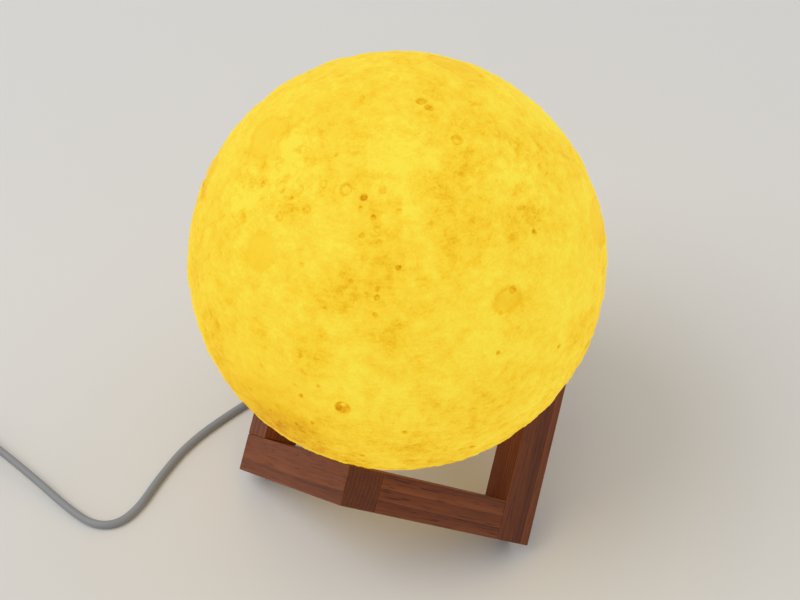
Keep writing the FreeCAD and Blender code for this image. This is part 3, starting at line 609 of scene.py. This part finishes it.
def closeGlobe(obj):
    # the outer skin is opened at the bottom and bridged to the CAD shell's inside and collar
    centre = Vector((0, 0, globe["centreHeight"])) * mm
    cutHeight = (globe["openingHeight"] + globe["lipHeight"]) * mm
    activate(obj)
    bpy.ops.object.mode_set(mode="EDIT")
    bpy.ops.mesh.select_all(action="SELECT")
    bpy.ops.mesh.bisect(plane_co=(0, 0, cutHeight), plane_no=(0, 0, 1), clear_inner=True)
    bpy.ops.object.mode_set(mode="OBJECT")

    deselectAll()
    inside = bpy.data.objects.new("globeInside", nodes["moon_globe"].data.copy())
    bpy.context.scene.collection.objects.link(inside)
    activate(inside)
    bpy.ops.mesh.customdata_custom_splitnormals_clear()
    bpy.ops.object.mode_set(mode="EDIT")
    bpy.ops.mesh.select_mode(type="FACE")
    bpy.ops.mesh.select_all(action="SELECT")
    bpy.ops.mesh.remove_doubles(threshold=1e-6)
    bpy.ops.mesh.select_all(action="DESELECT")
    bpy.ops.object.mode_set(mode="OBJECT")
    skin = (globe["radius"] - 0.02) * mm
    pickFaces(inside.data, lambda place: (place - centre).length > skin)
    bpy.ops.object.mode_set(mode="EDIT")
    bpy.ops.mesh.delete(type="FACE")
    bpy.ops.object.mode_set(mode="OBJECT")

    activate(obj)
    inside.select_set(True)
    bpy.ops.object.join()
    bpy.ops.object.mode_set(mode="EDIT")
    bpy.ops.mesh.select_mode(type="EDGE")
    bpy.ops.mesh.select_all(action="DESELECT")
    bpy.ops.mesh.select_non_manifold(extend=False, use_wire=False, use_multi_face=False,
                                     use_non_contiguous=False, use_verts=False)
    bpy.ops.mesh.bridge_edge_loops()
    bpy.ops.mesh.select_all(action="DESELECT")
    bpy.ops.object.mode_set(mode="OBJECT")
    bpy.ops.object.shade_smooth_by_angle(angle=math.radians(50))
    places = readPlaces(obj.data)
    depth = np.linalg.norm(places - np.array(centre), axis=1) / mm
    tone = np.zeros(len(places), np.float32)
    attribute = obj.data.attributes["tone"]
    attribute.data.foreach_get("value", tone)
    tone[depth < globe["radius"] - globe["wall"] + 0.5] = 0.5
    attribute.data.foreach_set("value", tone)


closeGlobe(moonPiece)
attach(moonPiece, "globe")
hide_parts("moon_globe")
print("globe closed:", len(moonPiece.data.polygons), "faces")

moonLook = {
    "tones": [(0.0, "#D1880A"), (0.25, "#F0BC1E"), (0.5, "#FCD234"), (1.0, "#FFEA4C")],
    "unlit": "#6A560A", "glowStrength": 0.84, "roughness": 0.6, "gloss": 0.05,
    # each pattern: size in mm, detail, how far it sways the tone either way, and how much it bends
    "patterns": {
        "clouds": (9.0, 3.0, 0.15, 0.4), "mottle": (3.2, 4.0, 0.11, 0.3),
        "grain": (0.8, 2.0, 0.11, 0.0), "streaks": (1.2, 2.0, 0.08, 0.0),
        "cracks": (5.0, 4.0, -0.12, 0.3),
    },
    "streakStretch": (0.22, 0.22, 1.3), "reliefDepth": 0.5,
    "layerHeight": 0.6, "layerDepth": 0.05,
}


def printedPla():
    # PLA built up in thin layers and lit from inside: thick places look darker, thin ones
    # brighter, and the layers catch a little light from outside; drawn coarser than the real
    # 0.1 mm layers, so that they show
    material, tree, shader, place = startMaterial("printedPla")
    look = moonLook

    tone = addNode(tree, "Attribute", {"attribute_name": "tone"}).outputs["Fac"]
    rough = addNode(tree, "Attribute", {"attribute_name": "rough"}).outputs["Fac"]
    flattened = addNode(tree, "VectorMath", {"operation": "MULTIPLY"}, {
        0: place, 1: look["streakStretch"]}).outputs[0]
    marks = None
    for name, (size, detail, sway, bend) in look["patterns"].items():
        cracked = name == "cracks"
        fac = addNode(tree, "TexNoise", {
            "noise_type": "RIDGED_MULTIFRACTAL" if cracked else "FBM"}, {
            "Vector": flattened if name == "streaks" else place, "Scale": perMetre(size),
            "Detail": detail, "Roughness": 0.62, "Distortion": bend}).outputs["Fac"]
        low, high = (0.2, 1.6) if cracked else (0.3, 0.7)
        mark = addNode(tree, "MapRange", {"clamp": False}, {
            "Value": fac, 1: low, 2: high, 3: -sway, 4: sway}).outputs[0]
        if cracked:
            mark = addNode(tree, "Math", {"operation": "MULTIPLY"}, {0: mark, 1: rough}).outputs[0]
        if marks is not None:
            mark = addNode(tree, "Math", {"operation": "ADD"}, {0: marks, 1: mark}).outputs[0]
        marks = mark
    marks = addNode(tree, "Math", {"operation": "MULTIPLY"}, {0: marks, 1: rough}).outputs[0]
    level = addNode(tree, "Math", {"operation": "ADD"}, {0: tone, 1: marks}).outputs[0]
    glow = addNode(tree, "ValToRGB", None, {"Fac": level}, stops=look["tones"]).outputs["Color"]
    tree.links.new(glow, shader.inputs["Emission Color"])
    shader.inputs["Emission Strength"].default_value = look["glowStrength"]
    shader.inputs["Base Color"].default_value = linear(look["unlit"])
    shader.inputs["Roughness"].default_value = look["roughness"]
    shader.inputs["Specular IOR Level"].default_value = look["gloss"]
    layers = addNode(tree, "TexWave", {"wave_type": "BANDS", "bands_direction": "Z"}, {
        "Vector": place, "Scale": waveScale(look["layerHeight"]), "Distortion": 1.5,
        "Detail": 1.0}).outputs["Fac"]
    coarse = addNode(tree, "Bump", None, {
        "Height": marks, "Strength": 0.8, "Distance": look["reliefDepth"] * mm}).outputs[0]
    ridged = addNode(tree, "Bump", None, {
        "Height": layers, "Strength": 0.5, "Distance": look["layerDepth"] * mm,
        "Normal": coarse}).outputs[0]
    tree.links.new(ridged, shader.inputs["Normal"])
    return material


dress(moonPiece, printedPla())
print("globe dressed")

# ---- stand: six stained hardwood bars, the grain along each one
cubeAxes = {
    "p": Vector((1 / math.sqrt(2), -1 / math.sqrt(6), 1 / math.sqrt(3))),
    "q": Vector((1 / math.sqrt(2), 1 / math.sqrt(6), -1 / math.sqrt(3))),
    "r": Vector((0, 2 / math.sqrt(6), 1 / math.sqrt(3))),
}
# each bar by the axis that it lies along, and where its heartwood was: along, across, across
barCuts = {
    "bar_front_left": ("p", (31, 95, 14)), "bar_front_right": ("q", (7, -38, 96)),
    "bar_right": ("r", (83, 109, -31)), "bar_back_right": ("p", (-40, -79, 47)),
    "bar_back_left": ("q", (55, 96, 52)), "bar_left": ("r", (-67, -52, -94)),
}
wood = {
    "dark": "#4A2211", "middle": "#713A1D", "light": "#8E4F2A", "pore": "#2E150A",
    "ringWidth": 1.6, "streakWidth": 0.9, "poreWidth": 0.5, "cloudWidth": 9, "drawnOut": 0.05,
    "streakShare": 0.62, "cloudShare": 0.40, "poreShade": 0.65, "edgeWear": 0.35,
    "endShade": 0.35, "roughness": 0.50, "gloss": 0.3, "sawnDepth": 0.12, "poreDepth": 0.10,
}


def stainedHardwood(name, axis, heart):
    # stained beech, sawn square and oiled: fine dark flecks along the grain, soft growth rings,
    # darker end grain and slightly paler rubbed edges
    material, tree, shader, place = startMaterial(name)
    # the pattern's own X runs along the bar, and is drawn out
    first = "pqr".index(axis)
    turn = Matrix([cubeAxes["pqrpq"[first + i]] for i in range(3)]).to_euler()
    local = addNode(tree, "Mapping", {"vector_type": "POINT"}, {
        "Vector": place, "Rotation": turn, "Location": Vector(heart) * mm}).outputs[0]
    drawn = addNode(tree, "VectorMath", {"operation": "MULTIPLY"}, {
        0: local, 1: (wood["drawnOut"], 1, 1)}).outputs[0]
    rings = addNode(tree, "TexWave", {"wave_type": "RINGS", "rings_direction": "X",
                                      "wave_profile": "SAW"}, {
        "Vector": drawn, "Scale": waveScale(wood["ringWidth"]), "Distortion": 3.0,
        "Detail": 3.0, "Detail Scale": 0.4, "Detail Roughness": 0.55}).outputs["Fac"]
    streaks = addNode(tree, "TexNoise", None, {
        "Vector": drawn, "Scale": perMetre(wood["streakWidth"]), "Detail": 5.0,
        "Roughness": 0.6}).outputs["Fac"]
    cloud = addNode(tree, "TexNoise", None, {
        "Vector": drawn, "Scale": perMetre(wood["cloudWidth"]), "Detail": 2.0}).outputs["Fac"]
    pores = addNode(tree, "TexNoise", None, {
        "Vector": drawn, "Scale": perMetre(wood["poreWidth"]), "Detail": 1.0}).outputs["Fac"]
    level = rings
    for share, finer in ((wood["streakShare"], streaks), (wood["cloudShare"], cloud)):
        level = addNode(tree, "Mix", {"data_type": "FLOAT"}, {
            0: share, 2: level, 3: finer}).outputs[0]
    body = addNode(tree, "ValToRGB", None, {"Fac": level}, stops=[
        (0.25, wood["dark"]), (0.5, wood["middle"]), (0.78, wood["light"])]).outputs["Color"]
    fleck = addNode(tree, "MapRange", None, {
        "Value": pores, 1: 0.62, 2: 0.72, 3: 0.0, 4: wood["poreShade"]}).outputs[0]

    # how squarely the surface faces each of the cube's axes: less at rubbed edges, most at ends
    normal = addNode(tree, "NewGeometry").outputs["Normal"]
    facing = {}
    for letter in "pqr":
        along = addNode(tree, "VectorMath", {"operation": "DOT_PRODUCT"}, {
            0: normal, 1: cubeAxes[letter]}).outputs["Value"]
        facing[letter] = addNode(tree, "Math", {"operation": "ABSOLUTE"}, {0: along}).outputs[0]
    squareOn = facing["p"]
    for letter in "qr":
        squareOn = addNode(tree, "Math", {"operation": "MAXIMUM"}, {
            0: squareOn, 1: facing[letter]}).outputs[0]
    rubbed = addNode(tree, "MapRange", None, {
        "Value": squareOn, 1: 0.97, 2: 0.80, 3: 0.0, 4: wood["edgeWear"]}).outputs[0]
    endOn = addNode(tree, "MapRange", None, {
        "Value": facing[axis], 1: 0.9, 2: 0.99, 3: 0.0, 4: wood["endShade"]}).outputs[0]
    for share, colour in ((fleck, "pore"), (rubbed, "light"), (endOn, "dark")):
        body = addNode(tree, "Mix", {"data_type": "RGBA"}, {
            0: share, 6: body, 7: linear(wood[colour])}).outputs[2]
    tree.links.new(body, shader.inputs["Base Color"])
    shine = addNode(tree, "MapRange", None, {
        "Value": streaks, 1: 0.3, 2: 0.7, 3: wood["roughness"] + 0.1,
        4: wood["roughness"] - 0.06}).outputs[0]
    tree.links.new(shine, shader.inputs["Roughness"])
    shader.inputs["Specular IOR Level"].default_value = wood["gloss"]
    sawn = addNode(tree, "Bump", None, {
        "Height": streaks, "Strength": 0.5, "Distance": wood["sawnDepth"] * mm}).outputs[0]
    pitted = addNode(tree, "Bump", {"invert": True}, {
        "Height": fleck, "Strength": 0.6, "Distance": wood["poreDepth"] * mm,
        "Normal": sawn}).outputs[0]
    tree.links.new(pitted, shader.inputs["Normal"])
    return material


for bar, (axis, heart) in barCuts.items():
    dress(nodes[bar], stainedHardwood("stainedBeech_" + bar, axis, heart))
print("stand dressed")


# ---- plastics, metals and boards: how far a plastic's colour and roughness sway, and how fine
# the handling marks on metal are
plastic = {"cloudSize": 11, "paler": 1.08, "deeper": 0.93, "smoother": 0.04, "duller": 0.06}
metal = {"markSize": 0.7, "markDepth": 0.01, "smoother": 0.06, "duller": 0.10}


def mouldedPlastic(name, colour, roughness, textureSize=0.8, textureDepth=0.02):
    # injection-moulded plastic: even colour and a faint spark-eroded texture that breaks the gloss
    material, tree, shader, place = startMaterial(name)
    grain = addNode(tree, "TexNoise", None, {
        "Vector": place, "Scale": perMetre(textureSize), "Detail": 3.0}).outputs["Fac"]
    cloud = addNode(tree, "TexNoise", None, {
        "Vector": place, "Scale": perMetre(plastic["cloudSize"]), "Detail": 2.0}).outputs["Fac"]
    pale = [min(1, c * plastic["paler"]) for c in linear(colour)]
    deep = [c * plastic["deeper"] for c in linear(colour)[:3]] + [1]
    body = addNode(tree, "Mix", {"data_type": "RGBA"}, {0: cloud, 6: deep, 7: pale}).outputs[2]
    tree.links.new(body, shader.inputs["Base Color"])
    gloss = addNode(tree, "MapRange", None, {
        "Value": grain, 1: 0.3, 2: 0.7, 3: roughness - plastic["smoother"],
        4: roughness + plastic["duller"]}).outputs[0]
    tree.links.new(gloss, shader.inputs["Roughness"])
    bump = addNode(tree, "Bump", None, {
        "Height": grain, "Strength": 0.6, "Distance": textureDepth * mm}).outputs[0]
    tree.links.new(bump, shader.inputs["Normal"])
    return material


def platedMetal(name, colour, roughness):
    # nickel or zinc plate on pressed steel: mirror-like, with fine handling marks
    material, tree, shader, place = startMaterial(name)
    marks = addNode(tree, "TexNoise", None, {
        "Vector": place, "Scale": perMetre(metal["markSize"]), "Detail": 4.0,
        "Roughness": 0.7}).outputs["Fac"]
    gloss = addNode(tree, "MapRange", None, {
        "Value": marks, 1: 0.3, 2: 0.7, 3: roughness - metal["smoother"],
        4: roughness + metal["duller"]}).outputs[0]
    shader.inputs["Base Color"].default_value = linear(colour)
    shader.inputs["Metallic"].default_value = 1.0
    tree.links.new(gloss, shader.inputs["Roughness"])
    bump = addNode(tree, "Bump", None, {
        "Height": marks, "Strength": 0.4, "Distance": metal["markDepth"] * mm}).outputs[0]
    tree.links.new(bump, shader.inputs["Normal"])
    return material


def glowingResin(name, colour, glow, strength):
    # phosphor resin over a light chip, or the frosted dome above it, lit
    material, tree, shader, place = startMaterial(name)
    grain = addNode(tree, "TexNoise", None, {
        "Vector": place, "Scale": perMetre(0.5), "Detail": 2.0}).outputs["Fac"]
    bump = addNode(tree, "Bump", None, {
        "Height": grain, "Strength": 0.3, "Distance": 0.02 * mm}).outputs[0]
    shader.inputs["Base Color"].default_value = linear(colour)
    shader.inputs["Roughness"].default_value = 0.45
    shader.inputs["Emission Color"].default_value = linear(glow)
    shader.inputs["Emission Strength"].default_value = strength
    tree.links.new(bump, shader.inputs["Normal"])
    return material


def dowelBeech():
    # turned beech: pale, close-grained, with short darker flecks
    material, tree, shader, place = startMaterial("turnedBeech")
    drawn = addNode(tree, "VectorMath", {"operation": "MULTIPLY"}, {
        0: place, 1: (1, 0.3, 0.3)}).outputs[0]
    grain = addNode(tree, "TexNoise", None, {
        "Vector": drawn, "Scale": perMetre(0.8), "Detail": 4.0}).outputs["Fac"]
    body = addNode(tree, "ValToRGB", None, {"Fac": grain}, stops=[
        (0.3, "#B98F62"), (0.7, "#D2AE82")]).outputs["Color"]
    bump = addNode(tree, "Bump", None, {
        "Height": grain, "Strength": 0.4, "Distance": 0.05 * mm}).outputs[0]
    tree.links.new(body, shader.inputs["Base Color"])
    tree.links.new(bump, shader.inputs["Normal"])
    shader.inputs["Roughness"].default_value = 0.6
    return material


# solder mask, shrink sleeve and masked aluminium are smooth coats, with the same faint unevenness
whiteAbs = mouldedPlastic("mouldedWhiteAbs", "#E6E5E0", 0.46)
greyJacket = mouldedPlastic("softGreyJacket", "#8E9094", 0.52, 0.6, 0.015)
greyBoot = mouldedPlastic("softGreyBoot", "#86888C", 0.50, 0.5, 0.03)
greyGrip = mouldedPlastic("ribbedGreyGrip", "#86888C", 0.44, 0.5, 0.03)
silverButton = mouldedPlastic("silverGreyButton", "#CBCCCF", 0.30, 0.6, 0.008)
blackNylon = mouldedPlastic("mouldedBlackNylon", "#2E2E31", 0.50, 0.5, 0.02)
nickelPlate = platedMetal("nickelPlatedSheet", "#D9D8D4", 0.24)
zincPlate = platedMetal("zincPlatedSteel", "#C3C4C6", 0.34)
solderMask = mouldedPlastic("greenSolderMask", "#2A7A4A", 0.35, 1.2, 0.01)
shrinkSleeve = mouldedPlastic("blueShrinkSleeve", "#2F6FB0", 0.28, 1.5, 0.01)
wireSleeve = mouldedPlastic("redWireSleeve", "#C23A32", 0.45, 0.5, 0.01)
whiteBoard = mouldedPlastic("whiteMaskedAluminium", "#DFE0E0", 0.38, 0.8, 0.01)
lightChip = glowingResin("phosphorResin", "#E8D27A", "#FFD27A", 2.0)
frostedDome = glowingResin("frostedPolycarbonate", "#EFEDE6", "#FFD890", 0.6)
softStrap = mouldedPlastic("softBlackStrap", "#33343A", 0.85, 0.7, 0.10)
plugInsert = mouldedPlastic("whitePlugInsert", "#E2E2E0", 0.40)
beech = dowelBeech()

finishes = {
    "glued_dowels": beech, "plug_in_dowels": beech,
    "base_cover": whiteAbs, "cover_screws": zincPlate, "base_housing": whiteAbs,
    "circuit_board": solderMask, "board_components": blackNylon,
    "push_button": silverButton, "button_switch": blackNylon, "switch_plunger": blackNylon,
    "port_socket": nickelPlate, "port_tongue": blackNylon,
    "battery_tube": whiteAbs, "battery_cell": shrinkSleeve, "battery_tabs": nickelPlate,
    "battery_wires": wireSleeve, "light_carrier": whiteAbs, "light_board": whiteBoard,
    "light_chips": lightChip, "light_wires": wireSleeve, "diffuser_dome": frostedDome,
    "plug_shell": nickelPlate, "plug_boot": greyBoot, "coil_tie": softStrap,
    "supply_plug_boot": greyBoot, "supply_plug_shell": nickelPlate,
    "supply_plug_tongue": plugInsert,
}
for node, material in finishes.items():
    dress(nodes[node], material)
cordPiece.data.materials.append(greyJacket)
for piece in gripPieces:
    dress(piece, greyGrip)
print("fittings dressed")

# ---- floor and light
studio = {
    "floorSize": 6.0, "floorColour": "#E2E0DC", "worldColour": "#F1F1F2", "worldStrength": 0.62,
    "keyPower": 14.0, "keySize": 1.4, "keyPlace": (-0.9, -0.5, 1.7),
    "fillPower": 4.0, "fillSize": 1.6, "fillPlace": (1.2, 0.9, 1.3),
    "lampsAim": (0, 0, 0.08), "backdropColour": "#D6D4D0",
}


def makeFloor():
    material, tree, shader, place = startMaterial("paleFloor")
    cloud = addNode(tree, "TexNoise", None, {
        "Vector": place, "Scale": perMetre(160), "Detail": 2.0}).outputs["Fac"]
    base = linear(studio["floorColour"])
    body = addNode(tree, "Mix", {"data_type": "RGBA"}, {
        0: cloud, 6: base, 7: [c * 0.985 for c in base[:3]] + [1]}).outputs[2]
    tree.links.new(body, shader.inputs["Base Color"])
    shader.inputs["Roughness"].default_value = 0.75
    deselectAll()
    bpy.ops.mesh.primitive_plane_add(size=studio["floorSize"], location=(0, 0, 0))
    obj = bpy.context.object
    obj.name = "studioFloor"
    dress(obj, material)


def addLamp(name, power, size, place):
    deselectAll()
    bpy.ops.object.light_add(type="AREA", location=place)
    obj = bpy.context.object
    obj.name = name
    obj.data.energy = power
    obj.data.shape = "DISK"
    obj.data.size = size
    aim = Vector(studio["lampsAim"]) - Vector(place)
    obj.rotation_euler = aim.to_track_quat("-Z", "Y").to_euler()


def makeWorld():
    # the lamps' soft surroundings; the camera and mirrors see a backdrop in the floor's colour
    world = bpy.context.scene.world or bpy.data.worlds.new("studioWorld")
    bpy.context.scene.world = world
    world.use_nodes = True
    tree = world.node_tree
    soft = tree.nodes["Background"]
    soft.inputs["Color"].default_value = linear(studio["worldColour"])
    soft.inputs["Strength"].default_value = studio["worldStrength"]
    plain = addNode(tree, "Background", None, {
        "Color": linear(studio["backdropColour"]), "Strength": 1.0}).outputs[0]
    rays = addNode(tree, "LightPath").outputs
    seen = addNode(tree, "Math", {"operation": "MAXIMUM"}, {
        0: rays["Is Camera Ray"], 1: rays["Is Glossy Ray"]}).outputs[0]
    seen = addNode(tree, "Math", {"operation": "MAXIMUM"}, {
        0: seen, 1: rays["Is Transmission Ray"]}).outputs[0]
    mixed = addNode(tree, "MixShader", None, {0: seen, 1: soft.outputs[0], 2: plain}).outputs[0]
    tree.links.new(mixed, tree.nodes["World Output"].inputs["Surface"])


makeFloor()
addLamp("keyLamp", studio["keyPower"], studio["keySize"], studio["keyPlace"])
addLamp("fillLamp", studio["fillPower"], studio["fillSize"], studio["fillPlace"])
makeWorld()
bpy.context.scene.view_settings.view_transform = "Standard"
print("studio set")
